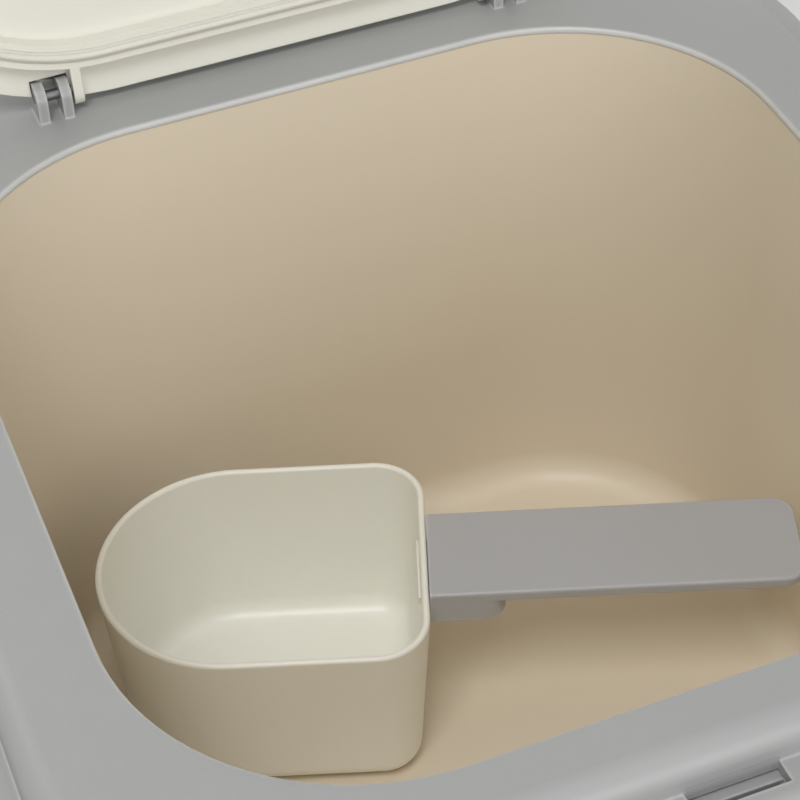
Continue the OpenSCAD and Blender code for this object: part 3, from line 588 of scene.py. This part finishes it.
# Each plastic's colour and edge in the sidebar, and the settings of its surface
PLASTICS = {
    "Frame grey": ("frame_grey", "frame_edge", {
        # Painted highlights on the frame's rounded edges and along the opening's edge
        "gloss": 0.38, "relief": 0.012, "dust": 0.06, "highlight_and_polish": 0.45,
        "rim": (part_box("tub")[1].z + RIM_RISE, RIM_HALF_WIDTH, RIM_HALF_DEPTH),
    }),
    "Cream": ("cream", "cream_edge", {"gloss": 0.38, "gloss_drift": 0.03, "relief": 0.010}),
    "Tub cream": ("tub_cream", "tub_edge", {
        "gloss": 0.42, "gloss_drift": 0.03, "relief": 0.010, "dust": 0.10,
    }),
    "Scoop cream": ("scoop_cream", "tub_edge", {
        "gloss": 0.34, "gloss_drift": 0.02, "relief": 0.004, "marks": 0.12,
        "shader": {
            "Subsurface Weight": 0.12, "Subsurface Radius": (1.0, 0.8, 0.5),
            "Subsurface Scale": 1.2 * MM,
        },
    }),
    "Handle grey": ("handle_grey", "frame_edge", {
        # Painted highlight on the handle's rounded edges
        "gloss": 0.36, "gloss_drift": 0.03, "relief": 0.010, "dust": 0.04, "highlight_and_polish": 0.4,
    }),
    "Seal white": ("seal_white", "soft_edge", {
        "gloss": 0.5, "relief": 0.02,
        "shader": {
            "Subsurface Weight": 0.25, "Subsurface Radius": (0.8, 0.7, 0.6),
            "Subsurface Scale": 1.0 * MM,
        },
    }),
    "Foot rubber": ("rubber_black", "soft_edge", {
        "gloss": 0.75, "grain": 2200.0, "relief": 0.04, "marks": 0.6,
    }),
}
# Each steel's colour in the sidebar, and its roughness
STEELS = {"Pin steel": ("pin_grey", 0.5), "Zinc": ("zinc", 0.38)}
FINISHES = {}


def finish(name):
    """One of the object's materials, each built once from the settings in the sidebar."""
    if name not in FINISHES:
        colours = bpy.context.scene.rice_bin_finish
        edges = bpy.context.scene.rice_bin_edges
        if name in PLASTICS:
            colour, edge, surface = PLASTICS[name]
            made = plastic(name, getattr(colours, colour), getattr(edges, edge), **surface)
        else:
            colour, gloss = STEELS[name]
            made = steel(name, getattr(colours, colour), gloss)
        FINISHES[name] = made
    return FINISHES[name]


def dress(obj, material):
    """Gives an object one material."""
    obj.data.materials.clear()
    obj.data.materials.append(material)


# --- Meshes ---


def linked(name, data):
    """A new object in the scene."""
    made = bpy.data.objects.new(name, data)
    bpy.context.scene.collection.objects.link(made)
    return made


def evaluated(obj, name):
    """The object's mesh with its modifiers applied, as a new plain object. The old one goes."""
    bpy.context.view_layer.update()
    graph = bpy.context.evaluated_depsgraph_get()
    mesh = bpy.data.meshes.new_from_object(obj.evaluated_get(graph))
    mesh.name = name
    old = obj.data
    bpy.data.objects.remove(obj)
    if old.users == 0:
        bpy.data.meshes.remove(old)
    return linked(name, mesh)


def new_object(name, bm):
    """An object in the scene from a bmesh, which is freed."""
    mesh = bpy.data.meshes.new(name)
    bm.to_mesh(mesh)
    bm.free()
    return linked(name, mesh)


def stands_for(obj, material, slot, *nodes):
    """Dresses a finished piece and puts it in place of construction nodes of one body."""
    dress(obj, material)
    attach(obj, frame["nodes"][nodes[0]]["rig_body"])
    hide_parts(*nodes)


def lathed(name, rows, steps, radius=None):
    """A closed form turned about Z. Rows are (radius, height) pairs that start and end on
    the axis. radius(r, z, angle) may change a row's radius as it goes round."""
    bm = bmesh.new()
    rings = []
    for r, z in rows:
        if r == 0:
            rings.append([bm.verts.new((0, 0, z))])
            continue
        ring = []
        for i in range(steps):
            a = 2 * math.pi * i / steps
            q = radius(r, z, a) if radius else r
            ring.append(bm.verts.new((q * math.cos(a), q * math.sin(a), z)))
        rings.append(ring)
    for low, high in zip(rings, rings[1:]):
        for i in range(steps):
            j = (i + 1) % steps
            corners = [
                low[i % len(low)], low[j % len(low)], high[j % len(high)], high[i % len(high)]
            ]
            bm.faces.new(list(dict.fromkeys(corners)))
    bmesh.ops.recalc_face_normals(bm, faces=bm.faces)
    return new_object(name, bm)


# --- Geometry nodes ---


def geometry_tree(name, inputs):
    """A geometry node tree that ends in Realize Instances and Set Material. Gives the tree,
    the input node, and a function that links the last geometry to the end."""
    tree = bpy.data.node_groups.new(name, "GeometryNodeTree")
    tree.interface.new_socket("Geometry", in_out="OUTPUT", socket_type="NodeSocketGeometry")
    tree.interface.new_socket("Geometry", in_out="INPUT", socket_type="NodeSocketGeometry")
    for label, kind, default in (*inputs, ("Material", "NodeSocketMaterial", None)):
        socket = tree.interface.new_socket(label, in_out="INPUT", socket_type=kind)
        if default is not None:
            socket.default_value = default
    ends, out = tree.nodes.new("NodeGroupInput"), tree.nodes.new("NodeGroupOutput")

    def close(geometry):
        real = add_node(tree, "GeometryNodeRealizeInstances", {0: geometry})
        finished = add_node(
            tree, "GeometryNodeSetMaterial",
            {"Geometry": real.outputs[0], "Material": ends.outputs["Material"]},
        )
        tree.links.new(finished.outputs[0], out.inputs["Geometry"])

    return tree, ends, close


def grown(name, tree, values, points):
    """Runs a geometry node tree on a few points and gives its result as a plain mesh object."""
    bm = bmesh.new()
    for point in points:
        bm.verts.new(point)
    host = new_object(name + "_host", bm)
    modifier = host.modifiers.new("Tree", "NODES")
    modifier.node_group = tree
    sockets = {
        item.name: item.identifier
        for item in tree.interface.items_tree if item.in_out == "INPUT"
    }
    for label, value in values.items():
        modifier[sockets[label]] = value
    return evaluated(host, name)


def copies_tree():
    """Puts a copy of one form on each point, with its own turn about Z."""
    tree, ends, close = geometry_tree(
        "Placed copies",
        [
            ("Form", "NodeSocketObject", None),
            ("Most turn", "NodeSocketFloat", 2 * math.pi),
            ("Seed", "NodeSocketInt", 7),
        ],
    )
    form = add_node(tree, "GeometryNodeObjectInfo", {"Object": ends.outputs["Form"]})
    top = add_node(tree, "ShaderNodeCombineXYZ", {"Z": ends.outputs["Most turn"]})
    turn = add_node(
        tree, "FunctionNodeRandomValue",
        {"Min": (0, 0, 0), "Max": top.outputs[0], "Seed": ends.outputs["Seed"]},
        data_type="FLOAT_VECTOR",
    )
    copies = add_node(
        tree, "GeometryNodeInstanceOnPoints",
        {
            "Points": ends.outputs["Geometry"], "Instance": form.outputs["Geometry"],
            "Rotation": turn.outputs[0],
        },
    )
    close(copies.outputs[0])
    return tree


def spring_tree():
    """A coil of wire along Y whose end turns lie close together."""
    tree, ends, close = geometry_tree(
        "Coil spring",
        [
            ("Length", "NodeSocketFloat", 13 * MM),
            ("Coil radius", "NodeSocketFloat", 2 * MM),
            ("Wire radius", "NodeSocketFloat", 0.25 * MM),
            ("Turns", "NodeSocketFloat", 7.5),
            ("End turns", "NodeSocketFloat", 1.0),
            ("Steps", "NodeSocketInt", 260),
        ],
    )
    turns, end_turns = ends.outputs["Turns"], ends.outputs["End turns"]
    coil_radius, wire_radius = ends.outputs["Coil radius"], ends.outputs["Wire radius"]
    line = add_node(tree, "GeometryNodeMeshLine", {"Count": ends.outputs["Steps"]})
    last = math_node(tree, "SUBTRACT", ends.outputs["Steps"], 1.0)
    along = math_node(tree, "DIVIDE", add_node(tree, "GeometryNodeInputIndex").outputs[0], last)
    turned = math_node(tree, "MULTIPLY", along, turns)
    wire = math_node(tree, "MULTIPLY", wire_radius, 2.0)
    end_rise = math_node(tree, "MULTIPLY", wire, end_turns)
    far = math_node(tree, "SUBTRACT", turns, end_turns)
    free = math_node(tree, "SUBTRACT", ends.outputs["Length"], wire)
    middle_rise = math_node(tree, "SUBTRACT", free, math_node(tree, "MULTIPLY", end_rise, 2.0))
    rise = 0.0
    for low, high, part in (
        (0.0, end_turns, end_rise), (end_turns, far, middle_rise), (far, turns, end_rise)
    ):
        stretch = add_node(
            tree, "ShaderNodeMapRange",
            {"Value": turned, "From Min": low, "From Max": high, "To Max": part},
        )
        rise = math_node(tree, "ADD", rise, stretch.outputs["Result"])
    angle = math_node(tree, "MULTIPLY", turned, 2 * math.pi)
    place = add_node(
        tree, "ShaderNodeCombineXYZ",
        {
            "X": math_node(tree, "MULTIPLY", math_node(tree, "COSINE", angle), coil_radius),
            "Y": math_node(tree, "ADD", rise, wire_radius),
            "Z": math_node(tree, "MULTIPLY", math_node(tree, "SINE", angle), coil_radius),
        },
    )
    coil = add_node(
        tree, "GeometryNodeSetPosition",
        {"Geometry": line.outputs[0], "Position": place.outputs[0]},
    )
    path = add_node(tree, "GeometryNodeMeshToCurve", {0: coil.outputs[0]})
    section = add_node(
        tree, "GeometryNodeCurvePrimitiveCircle", {"Resolution": 10, "Radius": wire_radius}
    )
    tube = add_node(
        tree, "GeometryNodeCurveToMesh",
        {"Curve": path.outputs[0], "Profile Curve": section.outputs[0], "Fill Caps": True},
    )
    moved = add_node(
        tree, "GeometryNodeInstanceOnPoints",
        {"Points": ends.outputs["Geometry"], "Instance": tube.outputs[0]},
    )
    close(moved.outputs[0])
    return tree


# --- Operators ---


class RICEBIN_OT_tub(bpy.types.Operator):
    """Finish the inner tub that holds the rice"""

    bl_idname = "ricebin.tub"
    bl_label = "Tub"

    def execute(self, context):
        dress(frame["nodes"]["tub"], finish("Tub cream"))
        return {"FINISHED"}


class RICEBIN_OT_body(bpy.types.Operator):
    """Finish the outer body, which has the grips under its shoulder"""

    bl_idname = "ricebin.body"
    bl_label = "Outer body"

    def execute(self, context):
        dress(frame["nodes"]["outer_body"], finish("Cream"))
        return {"FINISHED"}


class RICEBIN_OT_frame(bpy.types.Operator):
    """Finish the top frame with its hinge ears and stop rib"""

    bl_idname = "ricebin.frame"
    bl_label = "Top frame"

    def execute(self, context):
        dress(frame["nodes"]["top_frame"], finish("Frame grey"))
        return {"FINISHED"}


class RICEBIN_OT_lid(bpy.types.Operator):
    """Finish the lid's panel, cover and seal"""

    bl_idname = "ricebin.lid"
    bl_label = "Lid"

    def execute(self, context):
        for node in ("lid_panel", "lid_cover"):
            dress(frame["nodes"][node], finish("Cream"))
        dress(frame["nodes"]["lid_seal"], finish("Seal white"))
        return {"FINISHED"}


class RICEBIN_OT_latch(bpy.types.Operator):
    """Finish the push button and its guide, and coil its two springs"""

    bl_idname = "ricebin.latch"
    bl_label = "Latch"

    def execute(self, context):
        sizes = context.scene.rice_bin_fasteners
        for node in ("latch_button", "latch_guide"):
            dress(frame["nodes"][node], finish("Frame grey"))
        tree = spring_tree()
        for side in ("left", "right"):
            low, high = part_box("latch_spring_" + side)
            middle = (low + high) / 2
            length = high.y - low.y
            coil = grown(
                "coil_spring_" + side, tree,
                {
                    "Length": length, "Coil radius": (high.x - low.x) / 2 - sizes.wire_radius,
                    "Wire radius": sizes.wire_radius, "Turns": sizes.coil_turns,
                    "Material": finish("Zinc"),
                },
                [(middle.x, low.y, middle.z)],
            )
            coil.data.shade_smooth()
            stands_for(coil, finish("Zinc"), "steel", "latch_spring_" + side)
            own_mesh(coil)
        return {"FINISHED"}


def islands(node):
    """The lowest and highest corners of each separate solid in a construction node."""
    bm = bmesh.new()
    bm.from_mesh(frame["nodes"][node].data)
    bmesh.ops.remove_doubles(bm, verts=bm.verts, dist=WELD)
    left, boxes = set(bm.verts), []
    while left:
        group, todo = set(), [next(iter(left))]
        while todo:
            v = todo.pop()
            if v in group:
                continue
            group.add(v)
            todo.extend(e.other_vert(v) for e in v.link_edges)
        left -= group
        boxes.append(tuple(
            Vector(end(v.co[axis] for v in group) for axis in range(3)) for end in (min, max)
        ))
    bm.free()
    return sorted(boxes, key=lambda box: tuple(box[0]))


def screw_form(name, length, sizes):
    """A pan-head screw that points up, with a helical thread, a blunt tip and a cross recess."""
    head_r, head_h = sizes.head_radius, sizes.head_height
    outer, core, pitch = sizes.shank_radius, sizes.core_radius, sizes.pitch
    threaded = length - SCREW_NECK
    rows = [(share * head_r, -rise * head_h) for share, rise in HEAD_PROFILE]
    rows.append((outer * 0.8, 0))
    steps = round(threaded / pitch * ROWS_PER_TURN)
    for i in range(steps + 1):
        rows.append((outer, SCREW_NECK + (threaded - SCREW_END) * i / steps))
    rows += [(0.35 * outer, length), (0, length)]

    def thread(r, z, angle):
        if r != outer:
            return r
        turn = (z / pitch - angle / (2 * math.pi)) % 1
        ridge = max(0.0, 1 - FLANK_SLOPE * abs(turn - 0.5))
        grown_in = max(0.0, min(1.0, (z - SCREW_NECK) / (THREAD_START * pitch)))
        taper = 1 - TIP_TAPER * max(0.0, (z - (length - SCREW_TIP)) / SCREW_TIP)
        return (core + (outer - core) * ridge * grown_in) * taper

    screw = lathed(name, rows, SCREW_SEGMENTS, thread)
    cross = bmesh.new()
    arm, half = CROSS_REACH * head_r, CROSS_HALF * head_r
    outline = []
    for i in range(4):
        a = i * math.pi / 2
        for x, y in ((half, -half), (arm, -half), (arm, half)):
            outline.append(
                (x * math.cos(a) - y * math.sin(a), x * math.sin(a) + y * math.cos(a))
            )
    # The bit is widest above the head and narrows to its point
    rims = [
        [cross.verts.new((x * share, y * share, z)) for x, y in outline]
        for share, z in ((1.1, -head_h - 0.3 * MM), (0.35, -0.25 * head_h))
    ]
    cross.faces.new(rims[0])
    cross.faces.new(reversed(rims[1]))
    for i in range(len(outline)):
        j = (i + 1) % len(outline)
        cross.faces.new((rims[0][j], rims[0][i], rims[1][i], rims[1][j]))
    bmesh.ops.recalc_face_normals(cross, faces=cross.faces)
    bit = new_object(name + "_recess", cross)
    cut = screw.modifiers.new("Recess", "BOOLEAN")
    cut.operation = "DIFFERENCE"
    cut.solver = "EXACT"
    cut.object = bit
    screw = evaluated(screw, name)
    bpy.data.objects.remove(bit)
    screw.data.shade_smooth()
    screw.data.set_sharp_from_angle(angle=math.radians(38))
    return screw


class RICEBIN_OT_fasteners(bpy.types.Operator):
    """Finish the hinge pins, and put a threaded screw in each screw's place"""

    bl_idname = "ricebin.fasteners"
    bl_label = "Pins and screws"

    def execute(self, context):
        sizes = context.scene.rice_bin_fasteners
        for node in ("hinge_pin_left", "hinge_pin_right"):
            dress(frame["nodes"][node], finish("Pin steel"))
        tree = copies_tree()
        for seed, node in enumerate(("frame_screws", "body_screws", "latch_screws")):
            boxes = islands(node)
            low, high = boxes[0]
            form = screw_form(node + "_form", high.z - low.z - sizes.head_height, sizes)
            spots = [
                ((a.x + b.x) / 2, (a.y + b.y) / 2, a.z + sizes.head_height) for a, b in boxes
            ]
            screws = grown(
                node.replace("screws", "threaded_screws"), tree,
                {"Form": form, "Seed": seed, "Material": finish("Zinc")}, spots,
            )
            bpy.data.objects.remove(form)
            stands_for(screws, finish("Zinc"), "steel", node)
        return {"FINISHED"}


class RICEBIN_OT_feet(bpy.types.Operator):
    """Turn the four rubber feet, with grip rings underneath"""

    bl_idname = "ricebin.feet"
    bl_label = "Feet"

    def execute(self, context):
        corners = ("front_left", "front_right", "back_left", "back_right")
        nodes = ["foot_" + corner for corner in corners]
        boxes = [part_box(node) for node in nodes]
        low, high = boxes[0]
        r, top = (high.x - low.x) / 2, high.z
        hollow, depth = FOOT_HOLLOW
        rows = [(0, depth), (hollow * r, depth)]
        for start in RING_STARTS:
            ring = RING if start == RING_STARTS[-1] else RING + GROOVE
            rows += [((start + share) * r, z) for share, z in ring]
        rows += [(share * r, z) for share, z in FOOT_SIDE] + [(r, top), (0, top)]
        form = lathed("foot_form", rows, FOOT_SEGMENTS)
        form.data.shade_smooth()
        form.data.set_sharp_from_angle(angle=math.radians(50))
        feet = grown(
            "rubber_feet", copies_tree(),
            {"Form": form, "Most turn": 0.0, "Material": finish("Foot rubber")},
            [((a.x + b.x) / 2, (a.y + b.y) / 2, 0) for a, b in boxes],
        )
        bpy.data.objects.remove(form)
        stands_for(feet, finish("Foot rubber"), "foot_rubber", *nodes)
        return {"FINISHED"}


class RICEBIN_OT_scoop(bpy.types.Operator):
    """Finish the scoop's cup and handle"""

    bl_idname = "ricebin.scoop"
    bl_label = "Scoop"

    def execute(self, context):
        dress(frame["nodes"]["scoop_cup"], finish("Scoop cream"))
        dress(frame["nodes"]["scoop_handle"], finish("Handle grey"))
        return {"FINISHED"}


def area_lamp(name, place, aim, power, size):
    """A square lamp that looks at a point."""
    data = bpy.data.lights.new(name, "AREA")
    data.energy = power
    data.size = size
    lamp = linked(name, data)
    lamp.location = place
    lamp.visible_camera = False
    lamp.rotation_euler = (Vector(aim) - Vector(place)).to_track_quat("-Z", "Y").to_euler()


class RICEBIN_OT_stage(bpy.types.Operator):
    """Make the floor, the lamps, the even light and the camera"""

    bl_idname = "ricebin.stage"
    bl_label = "Stage"

    def execute(self, context):
        scene = context.scene
        stage = scene.rice_bin_stage
        bpy.ops.mesh.primitive_plane_add(size=FLOOR_SIZE, location=(0, 0, -FLOOR_DROP))
        floor = context.object
        floor.name = "floor"
        colour = (*stage.floor, 1)
        material, tree, surface, place = new_material("Floor")
        drift = spread(
            tree, noise(tree, place.outputs["Object"], scale=5.0, detail=3.0), low=0.2, high=0.8
        )
        shade = (*(c * FLOOR_SHADE for c in stage.floor), 1)
        set_inputs(
            tree, surface, {"Base Color": mixed(tree, drift, colour, shade), "Roughness": 0.85}
        )
        away = add_node(
            tree, "ShaderNodeVectorMath", {0: place.outputs["Object"]}, operation="LENGTH"
        )
        far = spread(tree, away.outputs["Value"], *FLOOR_FADE)
        path = add_node(tree, "ShaderNodeLightPath")
        seen = math_node(tree, "MULTIPLY", far, path.outputs["Is Camera Ray"])
        glow = add_node(tree, "ShaderNodeEmission", {"Color": colour, "Strength": 1.0})
        faded = add_node(
            tree, "ShaderNodeMixShader", {0: seen, 1: surface.outputs[0], 2: glow.outputs[0]}
        )
        set_inputs(tree, tree.nodes["Material Output"], {"Surface": faded.outputs[0]})
        floor.data.materials.append(material)

        world = bpy.data.worlds.new("Even light")
        world.use_nodes = True
        scene.world = world
        tree = world.node_tree
        light = tree.nodes["Background"]
        set_inputs(tree, light, {"Color": (1, 1, 1, 1), "Strength": stage.world})
        seen = add_node(tree, "ShaderNodeBackground", {"Color": colour, "Strength": 1.0})
        path = add_node(tree, "ShaderNodeLightPath")
        bright = path.outputs["Is Camera Ray"]
        for ray in ("Is Glossy Ray", "Is Transmission Ray"):
            bright = math_node(tree, "MAXIMUM", bright, path.outputs[ray])
        mix = add_node(
            tree, "ShaderNodeMixShader", {0: bright, 1: light.outputs[0], 2: seen.outputs[0]}
        )
        set_inputs(tree, tree.nodes["World Output"], {"Surface": mix.outputs[0]})

        for name, power, spot, aim, size in LAMPS:
            area_lamp(name, spot, aim, getattr(stage, power), size)

        camera = linked("Camera", bpy.data.cameras.new("Camera"))
        scene.camera = camera
        camera.data.lens = stage.lens
        camera.data.clip_start = 0.01
        a, e = stage.azimuth, stage.elevation
        back = Vector((math.sin(a) * math.cos(e), -math.cos(a) * math.cos(e), math.sin(e)))
        facing = (-back).to_track_quat("-Z", "Y").to_matrix().to_4x4()
        turn = facing @ Matrix.Rotation(stage.roll, 4, "Z")
        spot = Vector(CAMERA_AIM) + back * stage.distance
        camera.matrix_world = Matrix.Translation(spot) @ turn

        scene.view_settings.view_transform = "Standard"
        return {"FINISHED"}


class RICEBIN_PT_panel(bpy.types.Panel):
    """The bin's pieces and their colours"""

    bl_label = "Rice bin"
    bl_idname = "RICEBIN_PT_panel"
    bl_space_type = "VIEW_3D"
    bl_region_type = "UI"
    bl_category = "Rice bin"

    def draw(self, context):
        for operator in OPERATORS:
            self.layout.operator(operator.bl_idname)
        for group in GROUPS:
            settings = getattr(context.scene, group)
            for name in settings.__annotations__:
                self.layout.prop(settings, name)


OPERATORS = (
    RICEBIN_OT_tub,
    RICEBIN_OT_body,
    RICEBIN_OT_frame,
    RICEBIN_OT_lid,
    RICEBIN_OT_latch,
    RICEBIN_OT_fasteners,
    RICEBIN_OT_feet,
    RICEBIN_OT_scoop,
    RICEBIN_OT_stage,
)
GROUPS = {
    "rice_bin_finish": RiceBinFinish,
    "rice_bin_edges": RiceBinEdges,
    "rice_bin_fasteners": RiceBinFasteners,
    "rice_bin_stage": RiceBinStage,
}


def register():
    for cls in (*GROUPS.values(), *OPERATORS, RICEBIN_PT_panel):
        bpy.utils.register_class(cls)
    for name, cls in GROUPS.items():
        setattr(bpy.types.Scene, name, PointerProperty(type=cls))


def unregister():
    for name in GROUPS:
        delattr(bpy.types.Scene, name)
    for cls in reversed((*GROUPS.values(), *OPERATORS, RICEBIN_PT_panel)):
        bpy.utils.unregister_class(cls)


def main():
    register()
    bpy.ops.ricebin.tub()
    bpy.ops.ricebin.body()
    bpy.ops.ricebin.frame()
    bpy.ops.ricebin.lid()
    bpy.ops.ricebin.latch()
    bpy.ops.ricebin.fasteners()
    bpy.ops.ricebin.feet()
    bpy.ops.ricebin.scoop()
    bpy.ops.ricebin.stage()


if __name__ == "__main__":
    main()
